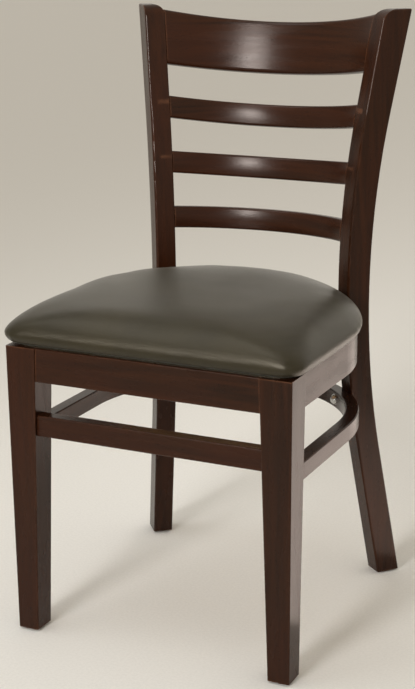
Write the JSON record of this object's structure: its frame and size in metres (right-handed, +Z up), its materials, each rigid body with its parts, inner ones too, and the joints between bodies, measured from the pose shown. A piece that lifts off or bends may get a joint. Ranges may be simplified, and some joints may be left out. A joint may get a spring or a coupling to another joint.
{
  "type": "ladderback dining chair",
  "caption": "Wooden ladderback dining chair with curved back posts, bent back slats, a bent seat hoop and stretcher hoop, tapered front legs and a padded vinyl seat.",
  "frame": {"origin": "on the floor, below the middle of the chair's overall width and depth", "axes": "+Z up, -Y towards the front of the chair, +X towards the sitter's left"},
  "size_m": [0.4472, 0.4827, 0.856],
  "materials": {
    "stained_wood": "satin lacquer over dark walnut stain",
    "raw_wood": "unfinished beech",
    "plywood": "unfinished plywood",
    "vinyl": "grained vinyl, low gloss",
    "foam": "open-cell foam",
    "fastener_steel": "bright zinc plated",
    "insert_brass": "turned brass",
    "glide_plastic": "matte nylon"
  },
  "bodies": {
    "root": {"block_screws": "fastener_steel", "bolt_washers": "fastener_steel", "crest_dowels": "raw_wood", "crest_rail": "stained_wood", "front_rail": "stained_wood", "front_stretcher": "stained_wood", "glide_nails": "fastener_steel", "left_back_post": "stained_wood", "left_front_block": "raw_wood", "left_front_glide": "glide_plastic", "left_front_leg": "stained_wood", "left_rear_block": "raw_wood", "left_rear_glide": "glide_plastic", "lower_slat": "stained_wood", "middle_slat": "stained_wood", "right_back_post": "stained_wood", "right_front_block": "raw_wood", "right_front_glide": "glide_plastic", "right_front_leg": "stained_wood", "right_rear_block": "raw_wood", "right_rear_glide": "glide_plastic", "seat_board": "plywood", "seat_bolts": "fastener_steel", "seat_cover": "vinyl", "seat_foam": "foam", "seat_hoop": "stained_wood", "seat_screws": "fastener_steel", "stretcher_bolts": "fastener_steel", "stretcher_hoop": "stained_wood", "threaded_inserts": "insert_brass", "upper_slat": "stained_wood"}
  },
  "joints": []
}
